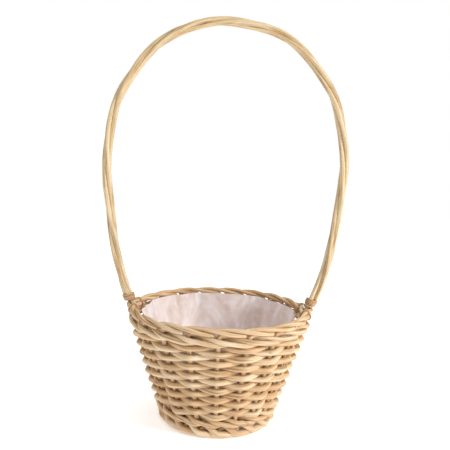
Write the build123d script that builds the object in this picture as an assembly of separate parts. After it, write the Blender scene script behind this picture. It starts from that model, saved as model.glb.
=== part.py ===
from build123d import *
import math
import os

# A small round basket of peeled willow with a tall fixed hoop handle and a thin film liner.
# Millimetres, +Z up, origin on the floor under the middle of the base. The handle stands in
# the XZ plane and the front faces -Y. Nothing on the basket moves.

# ---- overall shape ----
stake_count = 20
rim_outer_diameter = 200.0
border_height = 119.5       # middle of the rolled border above the floor
foot_radius = 58.5          # where the stakes turn up out of the base
base_plane_height = 8.42    # middle of the base sticks at the edge of the base
grip_height = 433.0         # middle of the handle rope at its top
crown_x, crown_height = 66.0, 415.0
shoulder_x, shoulder_height = 105.5, 373.0
bow_half_width, bow_widest_height = 130.2, 281.0
knee_x, knee_height = 116.3, 176.0

# ---- rods ----
stake_diameter = 4.0
weaver_diameter = 5.0
upper_wale_diameter = 3.5
foot_wale_diameter = 4.2
slit_stick_diameter = 5.0
threaded_stick_diameter = 4.0
base_weaver_diameter = 2.6
handle_rod_diameter = 4.6
binding_diameter = 1.8
crossing_gap = 0.1          # air left where one rod crosses another
strand_gap = 0.35           # air left between strands laid side by side
border_spread = 1.1         # border strands lie this many of their diameters apart
row_gap = 0.15              # least air between one round of the wall and the next
band_gap = 0.9              # air between the top wale and the rolled border
butt_gap = 2.6              # between the two cut ends of one round of weaving

# ---- weaving ----
wale_reach_up = 1.17        # a wall wale reaches up and down this many strand
wale_reach_down = 1.46      # diameters from its middle
short_stake_share = 0.34    # the two stakes under the handle legs stop this far up the wall
leg_tip_share = 0.43        # and the handle legs reach down to here in the weave
base_dome = 3.0             # the base rises this much to its middle
inner_base_rounds = 5
outer_base_rounds = 5
first_base_round_radius = 17.5
base_round_pitch = 3.25
tail_start_radius = 36.0    # the stakes are pushed in beside the base sticks to here
tail_spread_radius = 48.0   # and start to spread apart here
foot_bend = 7.0             # bend radius of the stakes at the foot of the wall
stroke_length = 2.85        # stake spaces covered by each stake's top in the border

# ---- handle rope and bindings ----
handle_turns = 3.33         # twists of the rope from foot to foot
rope_start_gap = 3.6        # from the border's highest strand up to the twisted rods' cut ends
collar_start_gap = 1.7      # from there up to the collar
collar_turns = 3
leg_pass_out = 1.1          # a leg goes up through the border outside its middle by this much
leg_turn_drop = 6.7         # a leg leaves the line of the stakes this far below the border

# ---- liner ----
liner_thickness = 0.8
liner_inset = 8.4           # from the middle of the stakes to the liner's outer face
liner_floor_rise = 7.2      # above the middle of the base sticks
liner_rim_drop = 8.0        # below the middle of the border

step = math.radians(360 / stake_count)
stake_radius = stake_diameter / 2
slit_stick_radius = slit_stick_diameter / 2
base_weaver_radius = base_weaver_diameter / 2
lane_radius = stake_diameter * border_spread / math.sqrt(3) / math.cos(math.radians(15))
border_radius = rim_outer_diameter / 2 - lane_radius - stake_radius
border_entry_height = border_height - lane_radius
wall_slope = (border_radius - foot_radius) / (border_entry_height - base_plane_height)
wall_lean = math.atan(wall_slope)
leg_stakes = (0, stake_count // 2)

# The foot wale sits round the outside of the bend where the stakes turn up, the lower wale
# rests on it, the top wale comes just under the border, and rounds of weaving fill the wall.
bend_lean = (math.pi / 2 + wall_lean) / 2
bend_inset = foot_bend * (1 / math.cos(math.pi / 2 - bend_lean) - 1)
bend_middle_radius = foot_radius - bend_inset * math.cos(bend_lean)
bend_middle_height = base_plane_height + bend_inset * math.sin(bend_lean)
lower_wale_height = bend_middle_height + foot_wale_diameter + upper_wale_diameter + crossing_gap
wale_top_reach = wale_reach_up * upper_wale_diameter
wale_bottom_reach = wale_reach_down * upper_wale_diameter
top_wale_height = border_height - lane_radius - stake_radius - band_gap - wale_top_reach
half_row = (weaver_diameter + row_gap) / 2
first_row_height = lower_wale_height + wale_top_reach + half_row
last_row_height = top_wale_height - wale_bottom_reach - half_row
weaver_rows = int((last_row_height - first_row_height) / (2 * half_row)) + 1
row_pitch = (last_row_height - first_row_height) / (weaver_rows - 1)

parted_rise = 0.625 * stake_diameter    # how far the highest strand rises beside a leg
rope_start_height = border_height + parted_rise + stake_radius + rope_start_gap
collar_height = rope_start_height + collar_start_gap
short_stake_top = base_plane_height + (border_height - base_plane_height) * short_stake_share
leg_tip_height = base_plane_height + (border_height - base_plane_height) * leg_tip_share
leg_pass_radius = border_radius + leg_pass_out
leg_turn_height = border_height - leg_turn_drop
liner_floor_height = base_plane_height + liner_floor_rise
liner_rim_height = border_height - liner_rim_drop

os.makedirs("parts", exist_ok=True)


def wall_radius(z):
    """Distance of a stake's middle from the axis at height z on the wall."""
    return foot_radius + (z - base_plane_height) * wall_slope


def ring_point(radius, angle, z):
    return Vector(radius * math.cos(angle), radius * math.sin(angle), z)


def rod(points, diameter, bends):
    """A round rod through the points, each corner rounded to its bend radius."""
    path = FilletPolyline(*points, radius=bends)
    start = Plane(origin=path @ 0, z_dir=path % 0)
    return sweep(sections=start * Circle(diameter / 2), path=path)


def trimmed(points, gap):
    """The same points with half the gap taken off each end."""
    first = points[0] + (points[1] - points[0]).normalized() * gap / 2
    last = points[-1] + (points[-2] - points[-1]).normalized() * gap / 2
    return [first] + points[1:-1] + [last]


def write(name, *shapes):
    bodies = [solid for shape in shapes for solid in shape.solids()]
    whole = bodies[0] if len(bodies) == 1 else Compound(children=bodies)
    whole.label = name
    export_step(whole, f"parts/{name}.step")


# ---- base sticks ----
# Three slit sticks lie side by side and two thinner sticks are threaded through their slits.
# All are then opened out like a star, so ten ends point out, each midway between two stakes.
stick_end_radius = foot_radius - 7.0
slit_half_length = threaded_stick_diameter + crossing_gap + 0.7
slit_half_height = threaded_stick_diameter / 2 + crossing_gap
slit_wall = 1.6
slit_swell_half_length = 7.1
slit_bundle_angle = 4.5 * step
threaded_bundle_angle = slit_bundle_angle + math.pi / 2


def base_height(radius):
    """Middle height of the base sticks at a distance from the axis."""
    return base_plane_height + base_dome * max(0.0, 1 - radius / stick_end_radius)


cross_radius = 8.0
cross_height = base_height(cross_radius)


def stick_path(bundle_angle, splay, offset):
    """Points along one base stick: side by side in the middle, splayed at both ends."""
    ends = (bundle_angle + splay, bundle_angle + math.pi - splay)
    tips = [ring_point(stick_end_radius, angle, base_plane_height) for angle in ends]
    turn = abs(offset / math.sin(splay)) if splay else cross_radius
    turns = [ring_point(turn, angle, cross_height) for angle in ends]
    return [tips[0], turns[0], turns[1], tips[1]]


def slit_stick(splay, offset):
    points = stick_path(slit_bundle_angle, splay, offset)
    stick = rod(points, slit_stick_diameter, 3.0)
    aside = Vector(-math.sin(slit_bundle_angle), math.cos(slit_bundle_angle), 0) * offset
    middle = Plane(
        origin=aside + Vector(0, 0, cross_height),
        x_dir=(math.cos(slit_bundle_angle), math.sin(slit_bundle_angle), 0),
        z_dir=(math.sin(slit_bundle_angle), -math.cos(slit_bundle_angle), 0),
    )
    top = slit_half_height + slit_wall
    reach, nib = slit_swell_half_length, 0.6
    lens = make_face(
        ThreePointArc((-reach, nib), (0, top), (reach, nib)).edges()
        + Line((reach, nib), (reach, -nib)).edges()
        + ThreePointArc((reach, -nib), (0, -top), (-reach, -nib)).edges()
        + Line((-reach, -nib), (-reach, nib)).edges()
    )
    swell = middle * extrude(lens, amount=slit_stick_radius * 0.9, both=True)
    slit = middle * Box(2 * slit_half_length, 2 * slit_half_height, 3 * slit_stick_diameter)
    return stick + swell - slit


slit_offset = slit_stick_diameter + crossing_gap * 2
threaded_offset = (threaded_stick_diameter + crossing_gap * 2) / 2
write(
    "base_slit_sticks",
    slit_stick(0.0, 0.0),
    slit_stick(2 * step, slit_offset),
    slit_stick(-2 * step, -slit_offset),
)
threaded_sticks = []
for side in (1, -1):
    threaded_path = stick_path(threaded_bundle_angle, side * step, side * threaded_offset)
    threaded_sticks.append(rod(threaded_path, threaded_stick_diameter, 3.0))
write("base_threaded_sticks", *threaded_sticks)

# ---- base weaving ----
# Fine rounds go over one stick end and under the next, each round opposite to the last. The
# outer rounds take each stick end together with the two stakes pushed in beside it.
stick_ends = stake_count // 2
wrap_radius = slit_stick_radius + base_weaver_radius + crossing_gap + 0.25
tail_offset = slit_stick_radius + stake_radius + crossing_gap
trio_half_width = slit_stick_radius + stake_diameter + crossing_gap


def base_round(index):
    radius = first_base_round_radius + index * base_round_pitch
    if index >= inner_base_rounds:
        radius += 0.3
    middle = base_height(radius)
    space = 2 * radius * math.sin(step)
    points = []
    for end in range(stick_ends + 1):
        angle = (2 * end + 0.5) * step
        side = 1 if (end + index) % 2 else -1
        if index < inner_base_rounds:
            corner = wrap_radius / math.cos(math.asin(2 * wrap_radius / space))
            points.append(ring_point(radius, angle, middle + side * corner))
            continue
        outward = ring_point(1, angle, 0)
        across = ring_point(1, angle + math.pi / 2, 0)
        here = outward * radius + Vector(0, 0, middle + side * wrap_radius)
        points += [here - across * trio_half_width, here + across * trio_half_width]
    if index < inner_base_rounds:
        start = points[0] * 0.5 + points[1] * 0.5
        points = [start] + points[1:-1] + [points[-1], start]
        return rod(trimmed(points, butt_gap), base_weaver_diameter, wrap_radius - 0.1)
    middle_point = points[0] * 0.5 + points[1] * 0.5
    points = [middle_point] + points[1:-2] + [points[-2], middle_point]
    return rod(trimmed(points, butt_gap), base_weaver_diameter, 3.0)


write("base_weaving_inner", *[base_round(i) for i in range(inner_base_rounds)])
all_base_rounds = inner_base_rounds + outer_base_rounds
write("base_weaving_outer", *[base_round(i) for i in range(inner_base_rounds, all_base_rounds)])


# ---- stakes and rolled border ----
# Each stake lies beside a base stick, turns up the wall, and at the top is bent along the
# rim: behind the next stake, over, and down outside. Three tops lie side by side all round,
# like a rope. At the two handle legs the strands part to let the leg through, and the strand
# before each leg is long enough to stand in for the missing top of the short stake.
part_half_angle = step / 2
leg_rise = (knee_x - leg_pass_radius) / (knee_height - border_height)
leg_turn_out = (leg_pass_radius - wall_radius(leg_turn_height)) / leg_turn_drop
leg_clear = 1.2 * stake_diameter / math.cos(math.atan(max(leg_rise, leg_turn_out)))


def leg_radius(z):
    """Where a handle leg stands at a height close to the border."""
    slope = leg_rise if z > border_height else leg_turn_out
    return leg_pass_radius + (z - border_height) * slope


def lane(u):
    """Radius and height of a border strand, u stake spaces after its own stake."""
    angle = math.radians(-90 - 120 * u)
    radius = border_radius + lane_radius * math.cos(angle)
    return radius, border_height + lane_radius * math.sin(angle)


parted_heights = {
    1: border_height + 0.3 * stake_diameter,
    2: border_height + parted_rise,
    3: border_height - 0.575 * stake_diameter,
}
parted_reach = {1: -leg_clear, 2: leg_clear + 0.15 * stake_diameter, 3: leg_clear}


def border_point(stake, u):
    radius, height = lane(u)
    turn = stake + u
    leg = round(turn / leg_stakes[1]) * leg_stakes[1]
    spaces = leg - stake
    away = abs(turn - leg) * step / part_half_angle
    if spaces in parted_heights and away < 1:
        lane_r, lane_z = lane(spaces)
        target_z = parted_heights[spaces]
        target_r = leg_radius(target_z) + parted_reach[spaces]
        share = math.cos(away * math.pi / 2) ** 2
        radius += (target_r - lane_r) * share
        height += (target_z - lane_z) * share
    return ring_point(radius, turn * step, height)


def stake(index):
    angle = index * step
    side = -1 if index % 2 else 1
    stick_angle = angle + side * step / 2
    outward = ring_point(1, stick_angle, 0)
    across = ring_point(1, stick_angle - side * math.pi / 2, 0)
    plane_up = Vector(0, 0, base_plane_height)
    start = outward * tail_start_radius + across * tail_offset
    spread = outward * tail_spread_radius + across * tail_offset
    start_up = Vector(0, 0, base_height(tail_start_radius))
    spread_up = Vector(0, 0, base_height(tail_spread_radius))
    foot = ring_point(foot_radius, angle, base_plane_height)
    points = [start + start_up, spread + spread_up, foot]
    if index in leg_stakes:
        points.append(ring_point(wall_radius(short_stake_top), angle, short_stake_top))
        return rod(points, stake_diameter, [5.0, foot_bend])
    long_stroke = (index + 3) % stake_count in leg_stakes
    reach = stroke_length + (3 if long_stroke else 0)
    quarters = int(reach * 4)
    points += [border_point(index, quarter / 4) for quarter in range(quarters + 1)]
    points.append(border_point(index, reach))
    return rod(points, stake_diameter, [5.0, foot_bend, 4.0] + [5.0] * quarters)


for index in range(stake_count):
    write(f"stake_{index:02d}", stake(index))


# ---- wales ----
# Three-rod waling: each strand passes outside two stakes and inside the third, and the three
# strands of a band run round one another like a rope. As the stakes are not a multiple of
# three, each strand ends where the next one began, inside, behind a stake at the back.
wale_start = stake_count // 4 + 1
foot_room = 0.1375 * stake_diameter    # extra room where the foot wale turns sharply


def wale_strand(number, radius, height, diameter, lean, room):
    clear = stake_radius + diameter / 2 + room
    half_space = radius * step / 2
    swing = 2 * clear / 1.5
    for _ in range(6):
        outside = clear / math.cos(math.atan(swing / half_space))
        inside = clear / math.cos(math.atan(swing / 2 / half_space))
        swing = (outside + inside) / 1.5
    middle = swing - inside
    rise = (diameter + strand_gap + 0.25) / math.sqrt(3)
    points = []
    first = 2 * (wale_start - number)
    last = 2 * (wale_start - (number - 1) % 3 + stake_count)
    for half in range(first, last + 1):
        u = half / 2
        phase = math.radians(180 - 120 * (u + number))
        out = middle + swing * math.cos(phase)
        up = rise * math.sin(phase)
        r = radius + out * math.cos(lean) + up * math.sin(lean)
        z = height - out * math.sin(lean) + up * math.cos(lean)
        points.append(ring_point(r, u * step, z))
    return rod(trimmed(points, butt_gap), diameter, 4.5)


for number, letter in enumerate("abc"):
    foot_strand = wale_strand(
        number, bend_middle_radius, bend_middle_height, foot_wale_diameter, bend_lean, foot_room
    )
    write(f"foot_wale_{letter}", foot_strand)
    for band, height in (("lower", lower_wale_height), ("top", top_wale_height)):
        strand = wale_strand(
            number, wall_radius(height), height, upper_wale_diameter, wall_lean, 0.25
        )
        write(f"{band}_wale_{letter}", strand)


# ---- wall weaving ----
# One rod a round, outside one stake and inside the next, each round opposite to the last.
# The cut ends of each round meet inside, behind a stake.
def weaver_row(row):
    height = first_row_height + row * row_pitch
    radius = wall_radius(height)
    bend = 8.0 + 8.0 * row / (weaver_rows - 1)
    clear = (stake_radius + weaver_diameter / 2 + crossing_gap) / math.cos(wall_lean)
    outside = inside = clear
    for _ in range(8):
        rise = radius + outside - (radius - inside) * math.cos(step)
        out_turn = math.atan2(rise, (radius - inside) * math.sin(step))
        in_turn = out_turn - step
        outside = clear + bend * (1 / math.cos(out_turn) - 1)
        inside = clear + bend * (1 / math.cos(in_turn) - 1)
    meet_inside = radius - clear / math.cos(in_turn) - crossing_gap
    first = (row * 6 + 5) // 2 * 2 + row % 2
    points = []
    for place in range(stake_count + 1):
        reach = radius + outside if place % 2 else radius - inside
        points.append(ring_point(reach, (first + place) * step, height))
    points[0] = points[-1] = ring_point(meet_inside, first * step, height)
    return rod(trimmed(points, butt_gap), weaver_diameter, bend)


for row in range(weaver_rows):
    write(f"weaver_row_{row + 1:02d}", weaver_row(row))

# ---- handle ----
# Three rods twisted into one rope. One of them, the bow rod, is thinned at both ends and goes
# down through the border into the weave above a short stake. The other two end just above
# the border, and a collar of split willow binds all three there.
half_bow = Spline(
    (0, 0, grip_height),
    (crown_x, 0, crown_height),
    (shoulder_x, 0, shoulder_height),
    (bow_half_width, 0, bow_widest_height),
    (knee_x, 0, knee_height),
    (leg_radius(rope_start_height), 0, rope_start_height),
    tangents=[(1, 0, 0), (-leg_rise, 0, -1)],
)
handle_lane = (handle_rod_diameter + 0.2) / math.sqrt(3) / math.cos(math.radians(11.25))
half_steps = 27
handle_bend = 40.0
turn_rate = handle_turns / 2 * 360


def rope_frame(share):
    """Middle and outward direction of the bow, from -1 at the left foot to 1 at the right."""
    place = half_bow @ abs(share)
    along = half_bow % abs(share)
    outward = Vector(-along.Z, 0, along.X)
    if share < 0:
        place = Vector(-place.X, 0, place.Z)
        outward = Vector(-outward.X, 0, outward.Z)
    return place, outward


def rope_offset(share, number):
    outward = rope_frame(share)[1]
    phase = math.radians(turn_rate * share + 120 * number)
    return (outward * math.cos(phase) + Vector(0, math.sin(phase), 0)) * handle_lane


def foot_share(share):
    """0 along the rope, rising to 1 at the feet, where the bow rod takes the middle."""
    return min(1.0, max(0.0, (abs(share) - 0.80) / 0.15))


def rope_middle(share):
    """Middle of the rope, moved aside near the feet so the bow rod meets its leg."""
    return rope_frame(share)[0] - rope_offset(share, 0) * foot_share(share)


def handle_rod_points(number):
    shares = [i / half_steps for i in range(-half_steps, half_steps + 1)]
    return [rope_middle(share) + rope_offset(share, number) for share in shares]


def leg(side):
    """The thinned end of the bow rod, from above the border down into the weave."""
    places = [
        (wall_radius(leg_tip_height), leg_tip_height),
        (wall_radius(leg_turn_height), leg_turn_height),
        (leg_pass_radius, border_height),
        (leg_radius(rope_start_height), rope_start_height),
    ]
    return rod([(side * x, 0, z) for x, z in places], stake_diameter, 8.0)


bow_rod = rod(handle_rod_points(0), handle_rod_diameter, handle_bend)
write("handle_bow_rod", bow_rod + leg(1) + leg(-1))
for number in (1, 2):
    write(f"handle_twist_rod_{number}", rod(handle_rod_points(number), handle_rod_diameter, handle_bend))


# ---- bindings ----
# A collar wound three times round the handle's foot, and on both sides of each leg a tight
# loop of split willow round the three strands of the border.
def collar(side):
    per_turn = 12
    reach = handle_lane + (handle_rod_diameter + binding_diameter) / 2 + crossing_gap
    reach /= math.cos(math.pi / per_turn)
    rope_length = half_bow.length
    points = []
    for i in range(collar_turns * per_turn + 1):
        climbed = i / per_turn * (binding_diameter + strand_gap)
        share = 1 - (collar_height - rope_start_height + climbed) / rope_length
        outward = rope_frame(side * share)[1]
        spin = 2 * math.pi * i / per_turn
        ring = outward * math.cos(spin) + Vector(0, math.sin(spin), 0)
        points.append(rope_middle(side * share) + ring * reach)
    return rod(points, binding_diameter, 4.0)


def border_tie(turn):
    """A loop round the border, half way between two stakes, its cut ends on top inside."""
    bend = 1.2 * stake_radius + binding_diameter / 2
    corners = []
    for strand in range(3):
        angle = math.radians(-90 - 120 * (turn + strand))
        reach = lane_radius + bend / math.sin(math.radians(30))
        radius = border_radius + reach * math.cos(angle)
        corners.append(ring_point(radius, turn * step, border_height + reach * math.sin(angle)))
    start = corners[0] * 0.5 + corners[1] * 0.5
    points = [start, corners[1], corners[2], corners[0], start]
    return rod(trimmed(points, strand_gap), binding_diameter, bend)


for side, name in ((1, "right"), (-1, "left")):
    write(f"handle_collar_{name}", collar(side))
    leg_stake = leg_stakes[0 if side == 1 else 1]
    write(f"border_ties_{name}", border_tie(leg_stake - 0.5), border_tie(leg_stake + 0.5))

# ---- liner ----
# A loose cone of thin film inside the weave, open at the top, its edge up under the border.
outer_floor = wall_radius(liner_floor_height) - liner_inset
outer_rim = wall_radius(liner_rim_height) - liner_inset
liner_outline = Plane.XZ * Polyline(
    (0, liner_floor_height),
    (outer_floor, liner_floor_height),
    (outer_rim, liner_rim_height),
    (outer_rim - liner_thickness, liner_rim_height),
    (outer_floor - liner_thickness, liner_floor_height + liner_thickness),
    (0, liner_floor_height + liner_thickness),
    close=True,
)
write("film_liner", revolve(make_face(liner_outline), Axis.Z))
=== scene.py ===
import math
import random

import bpy
from mathutils import Matrix, Vector, noise


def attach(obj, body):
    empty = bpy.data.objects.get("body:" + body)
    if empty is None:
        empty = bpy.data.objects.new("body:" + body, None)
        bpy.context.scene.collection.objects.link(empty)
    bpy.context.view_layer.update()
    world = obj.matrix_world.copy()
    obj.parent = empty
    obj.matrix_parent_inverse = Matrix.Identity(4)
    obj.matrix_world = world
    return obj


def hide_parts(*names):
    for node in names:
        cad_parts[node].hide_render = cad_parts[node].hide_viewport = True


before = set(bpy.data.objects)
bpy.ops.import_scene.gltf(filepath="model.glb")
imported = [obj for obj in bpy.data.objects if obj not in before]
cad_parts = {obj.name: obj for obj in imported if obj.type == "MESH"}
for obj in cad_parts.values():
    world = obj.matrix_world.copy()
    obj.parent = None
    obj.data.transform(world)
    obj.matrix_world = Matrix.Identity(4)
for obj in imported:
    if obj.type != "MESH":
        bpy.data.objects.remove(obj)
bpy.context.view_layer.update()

# ---- BASE STICKS ----
# Five stout peeled willow sticks. Three are slit in the middle and lie side by side, and two
# thinner ones are pushed through the slits. All ten ends are then spread like a star.

MM = 0.001
STAKES = 20
SPACE = 2 * math.pi / STAKES    # from one stake to the next
BASE_EDGE = 8.42                # middle of the sticks above the table at their ends
BASE_DOME = 3.0                 # the base rises this much to its middle
STICK_END = 51.5
STICK_THICK = 5.0
THREADED_THICK = 4.0
CROSS = 8.0                     # where the bundle of sticks starts to spread
SLIT_APART = 5.2                # between the middles of slit sticks lying side by side
THREADED_ASIDE = 2.1            # from the middle of the cross to each threaded stick
SLIT_OPENING = 3.3              # how far a slit stick's strips part round the threaded ones
STRIP_HALF = 0.75               # and beyond the slit, where they are one stick again
SLIT_REACH = 0.72               # share of the way from a stick's end to where the slit ends
WHOLE_GIRTH, STRIP_GIRTH = 0.86, 0.62
SLIT_BEND, THREADED_BEND = 6.0, 3.0


def around(radius, angle, height):
    return Vector((radius * math.cos(angle), radius * math.sin(angle), height))


def add(tree, kind, inputs=(), **settings):
    """Adds a node to a tree, sets its settings, and fills or links its inputs."""
    node = tree.nodes.new(kind)
    for key, value in settings.items():
        setattr(node, key, value)
    for key, value in dict(inputs).items():
        if isinstance(value, bpy.types.NodeSocket):
            tree.links.new(value, node.inputs[key])
        else:
            node.inputs[key].default_value = value
    return node


def colour(hex_code):
    """An sRGB hex colour as the linear colour a socket wants."""
    parts = [int(hex_code[i:i + 2], 16) / 255 for i in (1, 3, 5)]
    linear = [c / 12.92 if c <= 0.04045 else ((c + 0.055) / 1.055) ** 2.4 for c in parts]
    return (*linear, 1.0)


def peeled_willow(name, pale, warm, deep, contrast):
    """Peeled and dried willow: the bark is stripped and the smooth wood dries to a pale tan
    with fine lengthwise fibres, brown streaks, bud scars and a soft satin sheen."""
    material = bpy.data.materials.new(name)
    material.use_nodes = True
    tree = material.node_tree
    shader = tree.nodes["Principled BSDF"]
    along = add(tree, "ShaderNodeAttribute", attribute_name="rod_along").outputs["Fac"]
    ring = add(tree, "ShaderNodeAttribute", attribute_name="rod_round").outputs["Vector"]
    tone = add(tree, "ShaderNodeAttribute", attribute_name="rod_tone").outputs["Fac"]
    place = add(tree, "ShaderNodeTexCoord").outputs["Object"]
    ring_parts = add(tree, "ShaderNodeSeparateXYZ", {"Vector": ring}).outputs

    def rod_space(length_mm, width_share):
        """Coordinates whose unit is length_mm along the rod and a share of its radius round."""
        far = add(tree, "ShaderNodeMath", {0: along, 1: 1000 / length_mm}, operation="MULTIPLY")
        own = add(tree, "ShaderNodeMath", {
            0: tone, 1: 57.0, 2: far.outputs[0]}, operation="MULTIPLY_ADD")
        x, y = (
            add(tree, "ShaderNodeMath", {
                0: part, 1: 1 / width_share}, operation="MULTIPLY").outputs[0]
            for part in ring_parts[:2]
        )
        joined = add(tree, "ShaderNodeCombineXYZ", {0: own.outputs[0], 1: x, 2: y})
        return joined.outputs[0]

    fibre = add(tree, "ShaderNodeTexNoise", {
        "Vector": rod_space(16.0, 0.22), "Scale": 1.0,
        "Detail": 4.0, "Roughness": 0.6}).outputs["Fac"]
    streak = add(tree, "ShaderNodeTexNoise", {
        "Vector": rod_space(38.0, 0.9), "Scale": 1.0,
        "Detail": 3.0, "Roughness": 0.55}).outputs["Fac"]
    weathering = add(tree, "ShaderNodeTexNoise", {
        "Vector": place, "Scale": 34.0, "Detail": 2.0, "Roughness": 0.5}).outputs["Fac"]
    scar = add(tree, "ShaderNodeTexVoronoi", {
        "Vector": rod_space(30.0, 2.6), "Scale": 1.0, "Randomness": 1.0}).outputs["Distance"]

    body = add(tree, "ShaderNodeValToRGB", {"Fac": streak})
    body.color_ramp.elements[0].position = 0.34 - contrast * 0.1
    body.color_ramp.elements[0].color = colour(deep)
    body.color_ramp.elements[1].position = 0.66
    body.color_ramp.elements[1].color = colour(pale)
    middle = body.color_ramp.elements.new(0.47)
    middle.color = colour(warm)
    toned = add(tree, "ShaderNodeMapRange", {
        "Value": tone, "From Min": 0.0, "From Max": 1.0, "To Min": 0.0, "To Max": contrast})
    darker = add(tree, "ShaderNodeMix", {
        "Factor": toned.outputs[0], "A": body.outputs[0], "B": colour(warm)},
        data_type="RGBA", blend_type="MULTIPLY")
    fibre_share = add(tree, "ShaderNodeMapRange", {
        "Value": fibre, "From Min": 0.35, "From Max": 0.7, "To Min": 0.30, "To Max": 0.0})
    grained = add(tree, "ShaderNodeMix", {
        "Factor": fibre_share.outputs[0], "A": darker.outputs["Result"], "B": colour(deep)},
        data_type="RGBA", blend_type="MULTIPLY")
    worn_share = add(tree, "ShaderNodeMapRange", {
        "Value": weathering, "From Min": 0.45, "From Max": 0.75, "To Min": 0.0, "To Max": 0.45})
    worn = add(tree, "ShaderNodeMix", {
        "Factor": worn_share.outputs[0], "A": grained.outputs["Result"], "B": colour(warm)},
        data_type="RGBA", blend_type="MULTIPLY")
    scar_share = add(tree, "ShaderNodeMapRange", {
        "Value": scar, "From Min": 0.03, "From Max": 0.10, "To Min": 0.75, "To Max": 0.0})
    scarred = add(tree, "ShaderNodeMix", {
        "Factor": scar_share.outputs[0], "A": worn.outputs["Result"], "B": colour("#5E3F22")},
        data_type="RGBA")
    gloss = add(tree, "ShaderNodeMapRange", {
        "Value": fibre, "From Min": 0.3, "From Max": 0.7, "To Min": 0.68, "To Max": 0.50})
    relief = add(tree, "ShaderNodeMath", {
        0: fibre, 1: 0.5, 2: scar_share.outputs[0]}, operation="MULTIPLY_ADD")
    bump = add(tree, "ShaderNodeBump", {
        "Strength": 0.35, "Distance": 0.25 * MM, "Height": relief.outputs[0]})
    tree.links.new(scarred.outputs["Result"], shader.inputs["Base Color"])
    tree.links.new(gloss.outputs[0], shader.inputs["Roughness"])
    tree.links.new(bump.outputs[0], shader.inputs["Normal"])
    return material


def rod_tree():
    """Turns drawn lines into willow rods: rounds the corners, lets the line wander a little as
    hand-woven rods do, swells and thins the rod along its length, and stores where each point
    lies along and round the rod for the grain."""
    tree = bpy.data.node_groups.new("willow_rod", "GeometryNodeTree")
    sockets = tree.interface
    for label, kind in (
        ("Lines", "NodeSocketGeometry"), ("Thickness", "NodeSocketFloat"),
        ("Unevenness", "NodeSocketFloat"), ("Basket Wander", "NodeSocketFloat"),
        ("Rod Wander", "NodeSocketFloat"), ("Sides", "NodeSocketInt"),
        ("Step", "NodeSocketFloat"), ("Seed", "NodeSocketFloat"), ("Willow", "NodeSocketMaterial"),
    ):
        sockets.new_socket(label, in_out="INPUT", socket_type=kind)
    sockets.new_socket("Rods", in_out="OUTPUT", socket_type="NodeSocketGeometry")
    given = add(tree, "NodeGroupInput").outputs

    def named(attribute, kind="FLOAT"):
        found = add(tree, "GeometryNodeInputNamedAttribute", {"Name": attribute}, data_type=kind)
        return found.outputs["Attribute"]

    line = add(tree, "GeometryNodeMeshToCurve", {"Mesh": given["Lines"]}).outputs[0]
    line = add(tree, "GeometryNodeFilletCurve", {
        "Curve": line, "Count": 8, "Radius": named("bend"), "Limit Radius": True},
        mode="POLY").outputs[0]
    line = add(tree, "GeometryNodeResampleCurve", {
        "Curve": line, "Length": given["Step"]}, mode="LENGTH").outputs[0]
    where = add(tree, "GeometryNodeInputPosition").outputs[0]
    # the whole basket's shape wanders slowly, so neighbouring rods stay side by side
    slow = add(tree, "ShaderNodeTexNoise", {
        "Vector": where, "Scale": 15.0, "Detail": 1.0}).outputs["Color"]
    own = add(tree, "ShaderNodeTexNoise", {
        "Vector": where, "W": given["Seed"], "Scale": 70.0, "Detail": 1.0},
        noise_dimensions="4D").outputs["Color"]

    def wander(drift, amount):
        centred = add(tree, "ShaderNodeVectorMath", {
            0: drift, 1: (0.5, 0.5, 0.5)}, operation="SUBTRACT").outputs[0]
        return add(tree, "ShaderNodeVectorMath", {
            0: centred, "Scale": given[amount]}, operation="SCALE").outputs[0]

    shift = add(tree, "ShaderNodeVectorMath", {
        0: wander(slow, "Basket Wander"), 1: wander(own, "Rod Wander")}, operation="ADD").outputs[0]
    line = add(tree, "GeometryNodeSetPosition", {"Geometry": line, "Offset": shift}).outputs[0]
    length = add(tree, "GeometryNodeSplineParameter").outputs["Length"]
    line = add(tree, "GeometryNodeStoreNamedAttribute", {
        "Geometry": line, "Name": "rod_along", "Value": length},
        data_type="FLOAT", domain="POINT").outputs[0]
    swell = add(tree, "ShaderNodeTexNoise", {
        "Vector": where, "W": given["Seed"], "Scale": 45.0, "Detail": 2.0},
        noise_dimensions="4D").outputs["Fac"]
    swell = add(tree, "ShaderNodeMath", {0: swell, 1: 0.5}, operation="SUBTRACT").outputs[0]
    swell = add(tree, "ShaderNodeMath", {
        0: swell, 1: given["Unevenness"], 2: 1.0}, operation="MULTIPLY_ADD").outputs[0]
    girth = given["Thickness"]
    for factor in (named("girth"), swell, 0.5):
        girth = add(tree, "ShaderNodeMath", {0: girth, 1: factor}, operation="MULTIPLY").outputs[0]
    section = add(tree, "GeometryNodeCurvePrimitiveCircle", {
        "Resolution": given["Sides"], "Radius": 1.0}).outputs[0]
    section = add(tree, "GeometryNodeStoreNamedAttribute", {
        "Geometry": section, "Name": "rod_round", "Value": where},
        data_type="FLOAT_VECTOR", domain="POINT").outputs[0]
    rods = add(tree, "GeometryNodeCurveToMesh", {
        "Curve": line, "Profile Curve": section, "Scale": girth, "Fill Caps": True}).outputs[0]
    rods = add(tree, "GeometryNodeSetShadeSmooth", {
        "Geometry": rods, "Shade Smooth": True}).outputs[0]
    rods = add(tree, "GeometryNodeRealizeInstances", {"Geometry": rods}).outputs[0]
    rods = add(tree, "GeometryNodeSetMaterial", {
        "Geometry": rods, "Material": given["Willow"]}).outputs[0]
    add(tree, "NodeGroupOutput", {"Rods": rods})
    return tree


WILLOW_ROD = rod_tree()


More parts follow.
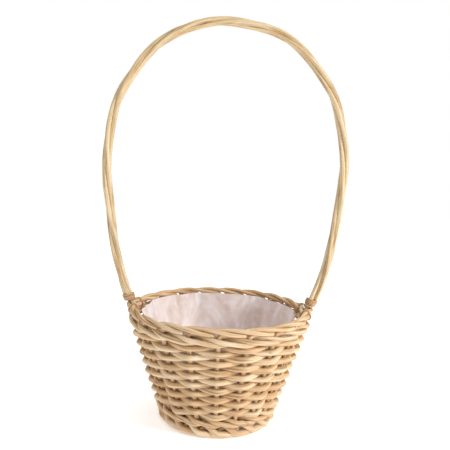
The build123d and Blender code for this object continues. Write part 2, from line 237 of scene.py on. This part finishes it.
def draw_line(points, bend=0.0, girth=1.0):
    """One rod's middle line in millimetres, with a bend radius and a share of full thickness."""
    count = len(points)
    bends = bend if isinstance(bend, list) else [bend] * count
    girths = girth if isinstance(girth, list) else [girth] * count
    return [Vector(p) * MM for p in points], [b * MM for b in bends], girths


def make_rods(name, lines, thickness, material, seed, unevenness=0.16, sides=12, step=1.6,
              basket_wander=1.6, rod_wander=0.5):
    """Runs the rod tree on some lines and keeps the result as a plain mesh."""
    verts, edges, bends, girths, tones = [], [], [], [], []
    pick = random.Random(seed)
    for points, line_bends, line_girths in lines:
        start = len(verts)
        verts += points
        edges += [(start + i, start + i + 1) for i in range(len(points) - 1)]
        bends += line_bends
        girths += line_girths
        tones += [pick.random()] * len(points)
    mesh = bpy.data.meshes.new(name)
    mesh.from_pydata(verts, edges, [])
    for label, values in (("bend", bends), ("girth", girths), ("rod_tone", tones)):
        mesh.attributes.new(label, "FLOAT", "POINT").data.foreach_set("value", values)
    piece = bpy.data.objects.new(name, mesh)
    bpy.context.scene.collection.objects.link(piece)
    modifier = piece.modifiers.new("willow_rod", "NODES")
    modifier.node_group = WILLOW_ROD
    values = {
        "Thickness": thickness * MM, "Unevenness": unevenness, "Basket Wander": basket_wander * MM,
        "Rod Wander": rod_wander * MM, "Sides": sides, "Step": step * MM, "Seed": seed * 7.31,
        "Willow": material,
    }
    for item in WILLOW_ROD.interface.items_tree:
        if item.in_out == "INPUT" and item.name in values:
            modifier[item.identifier] = values[item.name]
    bpy.context.view_layer.update()
    evaluated = piece.evaluated_get(bpy.context.evaluated_depsgraph_get())
    shaped = bpy.data.meshes.new_from_object(evaluated)
    piece.modifiers.clear()
    piece.data = shaped
    shaped.name = name
    return piece


def place(piece, slot, *nodes):
    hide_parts(*nodes)
    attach(piece, "root")


def base_height(radius):
    return BASE_EDGE + BASE_DOME * max(0.0, 1 - radius / STICK_END)


def stick_line(bundle, splay, offset):
    turn = abs(offset / math.sin(splay)) if splay else CROSS
    ends = (bundle + splay, bundle + math.pi - splay)
    return [
        around(STICK_END, ends[0], BASE_EDGE), around(turn, ends[0], base_height(CROSS)),
        around(turn, ends[1], base_height(CROSS)), around(STICK_END, ends[1], BASE_EDGE),
    ]


# Stout two-year rods, a little browner than the fine weavers, with coarser fibre.
STICK_WILLOW = peeled_willow("peeled_willow_stout_sticks", "#E6CFA8", "#D3B286", "#9E7B54", 0.45)

slit_bundle = 4.5 * SPACE
threaded_bundle = slit_bundle + math.pi / 2
slit_lines = []
slit_girths = [WHOLE_GIRTH] * 2 + [STRIP_GIRTH] * 2 + [WHOLE_GIRTH] * 2
for splay, offset in ((0.0, 0.0), (2 * SPACE, SLIT_APART), (-2 * SPACE, -SLIT_APART)):
    end, turn, far_turn, far_end = stick_line(slit_bundle, splay, offset)
    # each slit stick is two strips in its middle, one over and one under the threaded sticks
    for side in (1, -1):
        opened = Vector((0, 0, side * SLIT_OPENING))
        nudge = Vector((0, 0, side * STRIP_HALF))
        route = [
            end + nudge, end.lerp(turn, SLIT_REACH) + nudge,
            turn * 0.8 + far_turn * 0.2 + opened, turn * 0.2 + far_turn * 0.8 + opened,
            far_end.lerp(far_turn, SLIT_REACH) + nudge, far_end + nudge,
        ]
        slit_lines.append(draw_line(route, SLIT_BEND, slit_girths))
place(make_rods("base_slit_sticks", slit_lines, STICK_THICK, STICK_WILLOW, 3),
      "willow_sticks", "base_slit_sticks")
threaded_lines = [
    draw_line(stick_line(threaded_bundle, side * SPACE, side * THREADED_ASIDE), THREADED_BEND)
    for side in (1, -1)
]
place(make_rods("base_threaded_sticks", threaded_lines, THREADED_THICK, STICK_WILLOW, 4),
      "willow_sticks", "base_threaded_sticks")

# ---- BASE WEAVING ----
# Ten rounds of fine willow, each over one stick end and under the next, packed outwards from
# the middle. The outer five take each stick end with the two stakes pushed in beside it.

FINE_THICK = 2.6
STAKE_THICK = 4.0
FIRST_ROUND, ROUND_PITCH, INNER_ROUNDS, ROUNDS = 17.5, 3.25, 5, 10
LIFT = STICK_THICK / 2 + FINE_THICK / 2 + 0.2
INNER_LIFT = 0.6                # the inner rounds ride higher over the doubled sticks
OUTER_GAP = 0.3                 # between the inner and the outer rounds
BUNDLE_HALF = 5.2               # half of a stick end with its two stakes
ROUND_STEPS = 12

# Fine skeins and tips dry paler than the stout sticks.
FINE_WILLOW = peeled_willow("peeled_willow_fine_weavers", "#EEDAB8", "#DCBF96", "#AA8660", 0.4)


def base_round(index):
    """Middle line of one round of the base, swinging above and below the stick ends."""
    radius = FIRST_ROUND + index * ROUND_PITCH + (OUTER_GAP if index >= INNER_ROUNDS else 0)
    flat = 0.0 if index < INNER_ROUNDS else BUNDLE_HALF / radius
    lift = LIFT + (INNER_LIFT if index < INNER_ROUNDS else 0.0)
    points = []
    for i in range(STAKES // 2 * ROUND_STEPS + 1):
        u = i / ROUND_STEPS + 0.5                 # in stick spaces, starting between two
        local = (u % 1.0) - (1.0 if u % 1.0 > 0.5 else 0.0)
        angle_away = abs(local) * 2 * SPACE
        room = max(0.0, angle_away - flat) / (SPACE - flat)
        side = 1 if (round(u) + index) % 2 else -1
        height = side * math.cos(room * math.pi / 2) * lift
        points.append(around(radius, (u * 2 + 0.5) * SPACE, base_height(radius) + height))
    return draw_line(points[:-1])


inner = [base_round(i) for i in range(INNER_ROUNDS)]
outer = [base_round(i) for i in range(INNER_ROUNDS, ROUNDS)]
place(make_rods("base_weaving_inner", inner, FINE_THICK, FINE_WILLOW, 5, rod_wander=0.3, sides=10),
      "willow_fine", "base_weaving_inner")
place(make_rods("base_weaving_outer", outer, FINE_THICK, FINE_WILLOW, 6, rod_wander=0.3, sides=10),
      "willow_fine", "base_weaving_outer")

# ---- STAKES AND ROLLED BORDER ----
# Twenty upright rods, pushed in beside the base sticks and bent up. Each top is bent along the
# rim behind the next stake, over, and down outside, so three tops run together like a rope.

RIM_OUTSIDE = 100.0
BORDER_HEIGHT = 119.5
LANE = 2.63                     # from the middle of the border to the middle of a strand
FOOT = 58.5                     # where the stakes turn up
BORDER = RIM_OUTSIDE - LANE - STAKE_THICK / 2
ENTRY = BORDER_HEIGHT - LANE
WALL_SLOPE = (BORDER - FOOT) / (ENTRY - BASE_EDGE)
LEAN = math.atan(WALL_SLOPE)
LEG_PASS = 96.5                 # where a handle leg comes up through the border
LEG_TURN = 112.8                # where a leg leaves the line of the stakes
KNEE = (116.3, 176.0)
LEG_RISE = (KNEE[0] - LEG_PASS) / (KNEE[1] - BORDER_HEIGHT)
LEG_CLEAR = 5.1                 # from a leg's middle to the border strands parted round it
STROKE = 2.85                   # stake spaces each top runs along the border
LONG_STROKE = 3                 # extra spaces for the two tops that end beyond a handle leg
STAKE_ASIDE = 4.6               # a stake lies this far beside the middle of its base stick
STAKE_START, STAKE_SPLAY = 36.0, 48.0   # where it starts, and where it leaves the stick
SPLAY_BEND, STAKE_FOOT_BEND, ENTRY_BEND, BORDER_BEND = 5.0, 7.0, 4.5, 6.0
SHORT_STAKE_TOP = 46.2          # two stakes stop here, and the handle's legs come down to them
FOOT_GIRTH = 1.2                # rods look thicker where they are pressed together
BORDER_GIRTH, TIP_GIRTH = 1.18, 1.02
SHORT_GIRTHS = [0.75, 1.0, 1.0, 0.85]       # a short stake, cut to a point at both ends
STAKE_WILLOW = peeled_willow("peeled_willow_stakes", "#F2DFBE", "#E2C49A", "#AD8862", 0.4)


def wall(height):
    """Radius of the stakes' middle at a height on the wall."""
    return FOOT + (height - BASE_EDGE) * WALL_SLOPE


def leg_radius(height):
    turn_out = (LEG_PASS - wall(LEG_TURN)) / (BORDER_HEIGHT - LEG_TURN)
    return LEG_PASS + (height - BORDER_HEIGHT) * (LEG_RISE if height > BORDER_HEIGHT else turn_out)


def lane(u):
    turn = math.radians(-90 - 120 * u)
    return BORDER + LANE * math.cos(turn), BORDER_HEIGHT + LANE * math.sin(turn)


# rise and outward shift at a leg, for a strand that passes it one, two or three spaces on
PARTED = {1: (1.2, -LEG_CLEAR), 2: (2.5, LEG_CLEAR + 0.6), 3: (-2.3, LEG_CLEAR)}


def border_point(stake, u):
    """A strand of the border u spaces after its stake, parted where a handle leg comes up."""
    radius, height = lane(u)
    leg = round((stake + u) / 10) * 10
    away = abs(stake + u - leg) * 2
    if leg - stake in PARTED and away < 1:
        lane_radius, lane_height = lane(leg - stake)
        rise, reach = PARTED[leg - stake]
        share = math.cos(away * math.pi / 2) ** 2
        radius += (leg_radius(BORDER_HEIGHT + rise) + reach - lane_radius) * share
        height += (BORDER_HEIGHT + rise - lane_height) * share
    return around(radius, (stake + u) * SPACE, height)


for index in range(STAKES):
    side = -1 if index % 2 else 1
    stick = (index + side / 2) * SPACE
    aside = around(STAKE_ASIDE, stick - side * math.pi / 2, 0)
    points = [
        around(STAKE_START, stick, base_height(STAKE_START)) + aside,
        around(STAKE_SPLAY, stick, base_height(STAKE_SPLAY)) + aside,
        around(FOOT, index * SPACE, BASE_EDGE),
    ]
    bends = [0.0, SPLAY_BEND, STAKE_FOOT_BEND]
    if index % 10 == 0:
        points.append(around(wall(SHORT_STAKE_TOP), index * SPACE, SHORT_STAKE_TOP))
        bends.append(0.0)
        girths = SHORT_GIRTHS
    else:
        reach = STROKE + (LONG_STROKE if (index + 3) % 10 == 0 else 0)
        strokes = [i / 6 for i in range(int(reach * 6) + 1)] + [reach]
        points += [border_point(index, u) for u in strokes]
        bends += [ENTRY_BEND] + [BORDER_BEND] * (len(strokes) - 1)
        thinning = BORDER_GIRTH - TIP_GIRTH
        girths = [0.8, 1.0, FOOT_GIRTH] + [BORDER_GIRTH - thinning * u / reach for u in strokes]
    stake = make_rods(f"stake_{index:02d}", [draw_line(points, bends, girths)], STAKE_THICK,
                      STAKE_WILLOW, 20 + index, unevenness=0.14, step=1.4)
    place(stake, "willow_stakes", f"stake_{index:02d}")

# ---- WALES ----
# Bands of three-rod waling: each rod passes outside two stakes and inside the third, and the
# three run round one another like a rope. One is the foot, one starts the wall, one ends it.

WALE_THICK, FOOT_WALE_THICK = 3.5, 4.2      # the room each rod is given
PRESSED_WALE, PRESSED_FOOT = 4.6, 6.0       # drawn this thick, as waling is beaten down tight
WALE_OUTMOST, FOOT_OUTMOST = 5.0, 7.3       # and swinging out no further than this
WALE_ROOM, FOOT_ROOM = 0.25, 0.55           # between a rod's and a stake's surface
STRAND_ROOM = 0.6                           # between two rods that cross
WALE_STEPS = 8
BUTT_GAP = 1.3                              # between the cut ends of a rod that goes right round
LOWER_WALE, TOP_WALE, TOP_WALE_LIFT = 17.53, 109.9, 1.2
WALE_WILLOW = peeled_willow("peeled_willow_waling_rods", "#F3E1C2", "#E3C7A0", "#B08C64", 0.4)


def wale_line(number, radius, height, thick, lean, room, outmost):
    """Middle line of one waling rod, which swings out no further than outmost."""
    clear = STAKE_THICK / 2 + thick / 2 + room
    swing = 2 * clear / 1.5
    for _ in range(6):
        outside = clear / math.cos(math.atan(swing / (radius * SPACE / 2)))
        inside = clear / math.cos(math.atan(swing / (radius * SPACE)))
        swing = (outside + inside) / 1.5
    middle, rise = swing - inside, (thick + STRAND_ROOM) / math.sqrt(3)
    first = 6 - number
    last = 6 - (number - 1) % 3 + STAKES
    points = []
    for i in range((last - first) * WALE_STEPS + 1):
        u = first + i / WALE_STEPS
        phase = math.radians(180 - 120 * (u + number))
        out, up = min(outmost, middle + swing * math.cos(phase)), rise * math.sin(phase)
        points.append(around(radius + out * math.cos(lean) + up * math.sin(lean), u * SPACE,
                             height - out * math.sin(lean) + up * math.cos(lean)))
    gap = BUTT_GAP / (radius * SPACE / WALE_STEPS)
    points[0] = points[0].lerp(points[1], min(gap, 0.9))
    points[-1] = points[-1].lerp(points[-2], min(gap, 0.9))
    return draw_line(points)


bend_lean = (math.pi / 2 + LEAN) / 2
bend_inset = STAKE_FOOT_BEND * (1 / math.cos(math.pi / 2 - bend_lean) - 1)
bend_radius = FOOT - bend_inset * math.cos(bend_lean)
bend_height = BASE_EDGE + bend_inset * math.sin(bend_lean)
for number, letter in enumerate("abc"):
    for band, radius, height, lean in (
        ("foot", bend_radius, bend_height, bend_lean),
        ("lower", wall(LOWER_WALE), LOWER_WALE, LEAN),
        ("top", wall(TOP_WALE + TOP_WALE_LIFT), TOP_WALE + TOP_WALE_LIFT, LEAN),
    ):
        name = f"{band}_wale_{letter}"
        if band == "foot":
            thick, room, outmost, drawn = FOOT_WALE_THICK, FOOT_ROOM, FOOT_OUTMOST, PRESSED_FOOT
        else:
            thick, room, outmost, drawn = WALE_THICK, WALE_ROOM, WALE_OUTMOST, PRESSED_WALE
        line = wale_line(number, radius, height, thick, lean, room, outmost)
        strand = make_rods(name, [line], drawn, WALE_WILLOW, 50 + number + len(band) * 5,
                           rod_wander=0.35)
        place(strand, "willow_wale", name)

# ---- WALL WEAVING ----
# Plain randing with single rods: outside one stake and inside the next, each round opposite
# to the last. The rods taper from butt to tip, so rounds swell and thin as they go.

WEAVER_THICK = 5.0
ROWS, FIRST_ROW, ROW_PITCH = 16, 24.2, 5.2
ROW_STEPS = 12
CROSSING_ROOM = 0.6             # between a weaver's and a stake's surface
INNER_TUCK = 0.5                # pulled in less on the inside, clear of the liner
SHARPNESS = 0.985               # how suddenly a weaver bends at a stake, up to 1
WEAVER_GIRTH = 1.13             # pressed rods fill the room between them
WEAVER_WILLOW = peeled_willow("peeled_willow_weavers", "#F4E3C4", "#E4C9A2", "#AC8860", 0.5)


def row_line(row):
    height = FIRST_ROW + row * ROW_PITCH
    radius = wall(height)
    clear = (STAKE_THICK / 2 + WEAVER_THICK / 2 + CROSSING_ROOM) / math.cos(LEAN)
    first = (row * 6 + 5) // 2 * 2 + row % 2
    butt = random.Random(row + 90)
    phase, taper = butt.random() * 6.28, 0.05 + 0.04 * butt.random()
    points, girths = [], []
    for i in range(STAKES * ROW_STEPS + 1):
        u = i / ROW_STEPS
        # nearly straight between stakes, bent sharply over each one
        swing = -math.asin(SHARPNESS * math.cos(u * math.pi)) / math.asin(SHARPNESS)
        reach = clear if swing > 0 else clear - INNER_TUCK
        points.append(around(radius + reach * swing, (first + u) * SPACE, height))
        girths.append(WEAVER_GIRTH + taper * math.sin(u * 0.6283 + phase))
    gap = BUTT_GAP / (radius * SPACE / ROW_STEPS)
    points[0] = points[0].lerp(points[1], gap)
    points[-1] = points[-1].lerp(points[-2], gap)
    return draw_line(points, 0.0, girths)


for row in range(ROWS):
    name = f"weaver_row_{row + 1:02d}"
    weaver = make_rods(name, [row_line(row)], WEAVER_THICK, WEAVER_WILLOW, 100 + row,
                       rod_wander=0.9)
    place(weaver, "willow_weavers", name)

# ---- HANDLE ----
# Three willow rods twisted into a rope and bowed into a tall hoop. The bow rod's thinned ends
# go down through the border into the weave. The other two are cut off just above the border.

HANDLE_ROD_THICK = 4.6
GRIP_HEIGHT = 433.0
HOOP_SIDE = [(46.7, 425.0), (80.2, 404.0), (105.3, 373.3), (119.7, 344.9), (128.9, 304.0),
             (129.2, 258.0), (123.5, 212.0), KNEE]
ROPE_START = 127.6
HANDLE_TURNS = 3.33             # of the rope from foot to foot
HANDLE_LANE = 2.83              # from the middle of the rope to the middle of a rod
FOOT_FROM, FOOT_SHARE = 0.80, 0.15      # where the rope closes in on the leg
LEG_END = 56.2
HANDLE_GIRTH = 1.16             # rods pressed together by the twist
LEG_GIRTHS = [0.55, STAKE_THICK / HANDLE_ROD_THICK, 1.2, 1.35]  # from the leg's tip to the rope
LEG_BEND = 4.0
BOW_SAMPLES, ROPE_STEPS = 200, 110
HANDLE_WILLOW = peeled_willow("peeled_willow_handle_rods", "#EBDAB8", "#DCC59C", "#AC8C66", 0.3)


def half_bow(samples):
    """Right half of the hoop's middle line, top to foot: a smooth curve through its points."""
    foot = (leg_radius(ROPE_START), ROPE_START)
    below = (foot[0] - LEG_RISE * 40, foot[1] - 40)
    marks = [(-HOOP_SIDE[0][0], HOOP_SIDE[0][1]), (0.0, GRIP_HEIGHT), *HOOP_SIDE, foot, below]
    knots = [0.0]
    for a, b in zip(marks, marks[1:]):
        knots.append(knots[-1] + math.dist(a, b) ** 0.5)
    dense = []
    for i in range(1, len(marks) - 2):
        t0, t1, t2, t3 = knots[i - 1:i + 3]
        for j in range(40):
            t = t1 + (t2 - t1) * j / 40
            p0, p1, p2, p3 = (Vector((x, 0, z)) for x, z in marks[i - 1:i + 3])
            a1 = p0 * ((t1 - t) / (t1 - t0)) + p1 * ((t - t0) / (t1 - t0))
            a2 = p1 * ((t2 - t) / (t2 - t1)) + p2 * ((t - t1) / (t2 - t1))
            a3 = p2 * ((t3 - t) / (t3 - t2)) + p3 * ((t - t2) / (t3 - t2))
            b1 = a1 * ((t2 - t) / (t2 - t0)) + a2 * ((t - t0) / (t2 - t0))
            b2 = a2 * ((t3 - t) / (t3 - t1)) + a3 * ((t - t1) / (t3 - t1))
            dense.append(b1 * ((t2 - t) / (t2 - t1)) + b2 * ((t - t1) / (t2 - t1)))
    dense.append(Vector((foot[0], 0, foot[1])))
    walked = [0.0]
    for a, b in zip(dense, dense[1:]):
        walked.append(walked[-1] + (b - a).length)
    even, k = [], 0
    for i in range(samples + 1):
        goal = walked[-1] * i / samples
        while k < len(walked) - 2 and walked[k + 1] < goal:
            k += 1
        even.append(dense[k].lerp(dense[k + 1], (goal - walked[k]) / (walked[k + 1] - walked[k])))
    return even, walked[-1]


bow, bow_length = half_bow(BOW_SAMPLES)


def rope_frame(share):
    """Middle and outward direction of the hoop, from -1 at the left foot to 1 at the right."""
    k = min(abs(share), 1.0) * BOW_SAMPLES
    i = min(int(k), BOW_SAMPLES - 1)
    spot = bow[i].lerp(bow[i + 1], k - i)
    run = (bow[min(i + 2, BOW_SAMPLES)] - bow[max(i - 1, 0)]).normalized()
    outward = Vector((-run.z, 0, run.x))
    if share < 0:
        spot, outward = Vector((-spot.x, 0, spot.z)), Vector((-outward.x, 0, outward.z))
    return spot, outward


def rope_offset(share, number):
    turn = math.radians(HANDLE_TURNS / 2 * 360 * share + 120 * number)
    return (rope_frame(share)[1] * math.cos(turn) + Vector((0, math.sin(turn), 0))) * HANDLE_LANE


def rope_middle(share):
    foot_share = min(1.0, max(0.0, (abs(share) - FOOT_FROM) / FOOT_SHARE))
    return rope_frame(share)[0] - rope_offset(share, 0) * foot_share


shares = [i / ROPE_STEPS for i in range(-ROPE_STEPS, ROPE_STEPS + 1)]
leg_down = [(leg_radius(ROPE_START) - 0.3, ROPE_START - 1.5), (LEG_PASS, BORDER_HEIGHT),
            (wall(LEG_TURN), LEG_TURN), (wall(LEG_END), LEG_END)]
rope = [rope_middle(share) + rope_offset(share, 0) for share in shares]
left_leg = [Vector((-x, 0, z)) for x, z in reversed(leg_down)]
right_leg = [Vector((x, 0, z)) for x, z in leg_down]
leg_bends = [LEG_BEND] * len(leg_down)
bow_line = draw_line(left_leg + rope + right_leg, leg_bends + [0.0] * len(rope) + leg_bends,
                     LEG_GIRTHS + [HANDLE_GIRTH] * len(rope) + LEG_GIRTHS[::-1])
bow_rod = make_rods("handle_bow_rod", [bow_line], HANDLE_ROD_THICK, HANDLE_WILLOW, 201, step=1.8)
place(bow_rod, "willow_handle", "handle_bow_rod")
for number in (1, 2):
    strand = [rope_middle(share) + rope_offset(share, number) for share in shares]
    rod = make_rods(f"handle_twist_rod_{number}", [draw_line(strand, 0.0, HANDLE_GIRTH)],
                    HANDLE_ROD_THICK, HANDLE_WILLOW, 201 + number, step=1.8)
    place(rod, "willow_handle", f"handle_twist_rod_{number}")

# ---- COLLARS AND BORDER TIES ----
# Skeins of split willow. A collar is wound five times round each foot of the handle, and a
# tight loop each side of the leg binds the three strands of the border.

SKEIN_THICK = 1.8
COLLAR_START, COLLAR_TURNS, TURN_STEPS = 125.4, 5, 24
LEG_HOLD = 3.9                  # from the leg's middle to the middle of the skein
FLARE = 4.0                     # height in which the collar widens from the leg to the rope
SINK = 3.2                      # the skein bites into the hollows between the rods of the rope
TIE_START = 0.06                # the cut ends of a tie stop this share of a side apart
SKEIN_WILLOW = peeled_willow("split_willow_skein", "#E8D0AA", "#D3B184", "#9A764E", 0.5)

for side, name in ((1, "right"), (-1, "left")):
    points = []
    for i in range(COLLAR_TURNS * TURN_STEPS + 1):
        height = COLLAR_START + i / TURN_STEPS * SKEIN_THICK
        spin = 2 * math.pi * i / TURN_STEPS
        on_rope = min(1.0, max(0.0, (height - COLLAR_START) / FLARE))
        share = side * min(1.0, 1 - (height - ROPE_START) / bow_length)
        on_leg = Vector((side * leg_radius(height), 0, height))
        axis = rope_middle(share) if height > ROPE_START else on_leg
        reach = LEG_HOLD + on_rope * (HANDLE_LANE + HANDLE_ROD_THICK / 2 - SINK)
        ring = rope_frame(share)[1] * math.cos(spin) + Vector((0, math.sin(spin), 0))
        points.append(axis + ring * reach)
    collar = make_rods(f"handle_collar_{name}", [draw_line(points)], SKEIN_THICK, SKEIN_WILLOW,
                       230 + side, rod_wander=0.3, step=1.0)
    place(collar, "willow_bindings", f"handle_collar_{name}")
    ties = []
    for space in (-0.5, 0.5):
        turn = (0 if side == 1 else 10) + space
        bend = (STAKE_THICK * FOOT_GIRTH + SKEIN_THICK) / 2
        corners = []
        for strand in range(3):
            tilt = math.radians(-90 - 120 * (turn + strand))
            corner = LANE + 2 * bend
            corners.append(around(BORDER + corner * math.cos(tilt), turn * SPACE,
                                  BORDER_HEIGHT + corner * math.sin(tilt)))
        start = (corners[0] + corners[1]) / 2
        close = start.lerp(corners[1], TIE_START), start.lerp(corners[0], TIE_START)
        ties.append(draw_line([close[0], corners[1], corners[2], corners[0], close[1]], bend))
    tie = make_rods(f"border_ties_{name}", ties, SKEIN_THICK, SKEIN_WILLOW, 240 + side,
                    rod_wander=0.2, step=1.0)
    place(tie, "willow_bindings", f"border_ties_{name}")

# ---- FILM LINER ----
# A bag of thin translucent film, dropped into the basket, pushed out against the weave in
# soft upright folds, and tucked up under the border.

FILM_FLOOR, FILM_RIM, FILM_INSET = 16.0, 118.8, 9.2
FLOOR_RINGS, WALL_STEPS, COLUMNS = 6, 35, 360
FLOOR_SLACK, WALL_SLACK = 0.15, 0.3     # folds are flat on the floor and full at the rim
FLOOR_EDGE = 53                         # the floor ripples up and down inside this radius
FOLDS_ROUND, FOLDS_UP = 2.6, 0.006      # many folds round the wall, few from floor to rim
FOLD_IN, FOLD_SWING, CREASE = 2.2, 5.5, 1.9
film_verts, film_faces, film_rings = [], [], []
for j in range(FLOOR_RINGS):
    reach = (wall(FILM_FLOOR) - FILM_INSET) * (j + 0.15) / (FLOOR_RINGS + 0.15)
    film_rings.append((reach, FILM_FLOOR, FLOOR_SLACK))
for j in range(WALL_STEPS + 1):
    height = FILM_FLOOR + (FILM_RIM - FILM_FLOOR) * j / WALL_STEPS
    film_rings.append((wall(height) - FILM_INSET, height, WALL_SLACK + 0.7 * j / WALL_STEPS))
for radius, height, slack in film_rings:
    for i in range(COLUMNS):
        angle = 2 * math.pi * i / COLUMNS
        at = around(FOLDS_ROUND, angle, height * FOLDS_UP)
        fold = noise.noise(at * 0.9) + 0.45 * noise.noise(at * 2.6 + Vector((7, 3, 1)))
        crease = abs(noise.noise(at * 1.7 + Vector((1, 9, 4)))) * CREASE
        inward = slack * (FOLD_IN + FOLD_SWING * fold - crease)
        reach = radius - max(0.0, inward) if radius > 20 else radius
        film_verts.append(around(reach, angle, height + 0.5 * fold * (radius < FLOOR_EDGE)) * MM)
for j in range(len(film_rings) - 1):
    low, high = j * COLUMNS, (j + 1) * COLUMNS
    for i in range(COLUMNS):
        k = (i + 1) % COLUMNS
        film_faces.append((low + i, low + k, high + k, high + i))
film_faces.append(tuple(reversed(range(COLUMNS))))
film_mesh = bpy.data.meshes.new("film_liner")
film_mesh.from_pydata(film_verts, [], film_faces)
for polygon in film_mesh.polygons:
    polygon.use_smooth = True
film = bpy.data.objects.new("film_liner", film_mesh)
bpy.context.scene.collection.objects.link(film)

# Blown polythene film: thin, milky and faintly pink, letting the weave show through. Its colour is
# mottled from milky white to a darker beige, and the darker beige is painted shade of folds.
film_material = bpy.data.materials.new("blown_polythene_film")
film_material.use_nodes = True
film_tree = film_material.node_tree
film_shader = film_tree.nodes["Principled BSDF"]
film_place = add(film_tree, "ShaderNodeTexCoord").outputs["Object"]
stretched = add(film_tree, "ShaderNodeMapping", {
    "Vector": film_place, "Scale": (1, 1, 0.55)}).outputs[0]
milky_haze_and_fold_shade = add(film_tree, "ShaderNodeTexNoise", {
    "Vector": stretched, "Scale": 22.0, "Detail": 3.0, "Distortion": 2.2}).outputs["Fac"]
# the darker beige end of this tint is painted shade, standing in for shaded folds
tint_with_painted_fold_shade = add(film_tree, "ShaderNodeValToRGB", {"Fac": milky_haze_and_fold_shade})
for stop, position, hex_code in zip(tint_with_painted_fold_shade.color_ramp.elements, (0.3, 0.7), ("#D6C0B4", "#F6EEEF")):
    stop.position, stop.color = position, colour(hex_code)
clear = add(film_tree, "ShaderNodeMapRange", {
    "Value": milky_haze_and_fold_shade, "From Min": 0.3, "From Max": 0.7, "To Min": 0.93, "To Max": 0.98})
crinkle = add(film_tree, "ShaderNodeBump", {"Strength": 0.4, "Distance": 0.8 * MM, "Height": milky_haze_and_fold_shade})
film_shader.inputs["Roughness"].default_value = 0.5
film_shader.inputs["IOR"].default_value = 1.5
film_tree.links.new(tint_with_painted_fold_shade.outputs[0], film_shader.inputs["Base Color"])
film_tree.links.new(clear.outputs[0], film_shader.inputs["Alpha"])
film_tree.links.new(crinkle.outputs[0], film_shader.inputs["Normal"])
film_mesh.materials.append(film_material)
place(film, "liner_film", "film_liner")

# ---- TABLE, LIGHT AND CAMERA ----
# A lit white surface, a soft key light from the right and a camera a little above the basket.

TABLE_SIZE, TABLE_DROP = 8.0, 0.0008
SENSOR, LENS = 36.0, 41.26
CAMERA_AIM = (0.00207, 0, 0.214)
CAMERA_AWAY, CAMERA_PITCH, CAMERA_ROLL = 0.572, 0.083, 0.038

bpy.ops.mesh.primitive_plane_add(size=TABLE_SIZE, location=(0, 0, -TABLE_DROP))
table = bpy.context.object
table.name = "table"
# Opal acrylic sheet on a light table: matt white, and faintly lit from below.
opal = bpy.data.materials.new("opal_acrylic_light_table")
opal.use_nodes = True
opal_shader = opal.node_tree.nodes["Principled BSDF"]
opal_shader.inputs["Base Color"].default_value = (0.93, 0.93, 0.93, 1)
opal_shader.inputs["Roughness"].default_value = 0.8
opal_shader.inputs["Emission Color"].default_value = (1, 1, 1, 1)
# the table's glow is masked off under the basket, which leaves a painted shadow round its foot
opal_place = add(opal.node_tree, "ShaderNodeTexCoord").outputs["Object"]
from_basket = add(opal.node_tree, "ShaderNodeVectorMath", {
    0: opal_place}, operation="LENGTH").outputs["Value"]
# no glow within 45 mm of the middle, rising to full by 68 mm: a painted shadow under the basket
lit = add(opal.node_tree, "ShaderNodeMapRange", {
    "Value": from_basket, "From Min": 0.045, "From Max": 0.068,
    "To Min": 0.0, "To Max": 0.47}).outputs[0]
opal.node_tree.links.new(lit, opal_shader.inputs["Emission Strength"])
table.data.materials.append(opal)

# The white sweep behind is lit to full white, and gives the basket less light than that.
studio = bpy.data.worlds.new("studio")
bpy.context.scene.world = studio
studio.use_nodes = True
sweep = studio.node_tree.nodes["Background"]
seen = add(studio.node_tree, "ShaderNodeLightPath").outputs["Is Camera Ray"]
strength = add(studio.node_tree, "ShaderNodeMapRange", {
    "Value": seen, "To Min": 0.62, "To Max": 1.0})
sweep.inputs["Color"].default_value = (1, 1, 1, 1)
studio.node_tree.links.new(strength.outputs[0], sweep.inputs["Strength"])
bpy.context.scene.view_settings.view_transform = "Standard"

for name, spot, aim, power, size in (
    ("key", (1.35, -0.72, 0.8), (0, 0, 0.12), 17.0, 0.3),
    ("top", (-0.1, 0.3, 1.6), (0, 0, 0.1), 5.0, 0.8),
):
    lamp = bpy.data.lights.new(name, "AREA")
    lamp.energy, lamp.size = power, size
    holder = bpy.data.objects.new(name, lamp)
    bpy.context.scene.collection.objects.link(holder)
    holder.location = spot
    holder.rotation_euler = (Vector(aim) - Vector(spot)).to_track_quat("-Z", "Y").to_euler()

lens = bpy.data.cameras.new("camera")
lens.sensor_width, lens.lens = SENSOR, LENS
camera = bpy.data.objects.new("camera", lens)
bpy.context.scene.collection.objects.link(camera)
aim = Vector(CAMERA_AIM)
camera.location = aim + CAMERA_AWAY * Vector((0, -math.cos(CAMERA_PITCH), math.sin(CAMERA_PITCH)))
facing = (aim - camera.location).to_track_quat("-Z", "Y").to_matrix()
camera.rotation_euler = (facing @ Matrix.Rotation(CAMERA_ROLL, 3, "Z")).to_euler()
bpy.context.scene.camera = camera
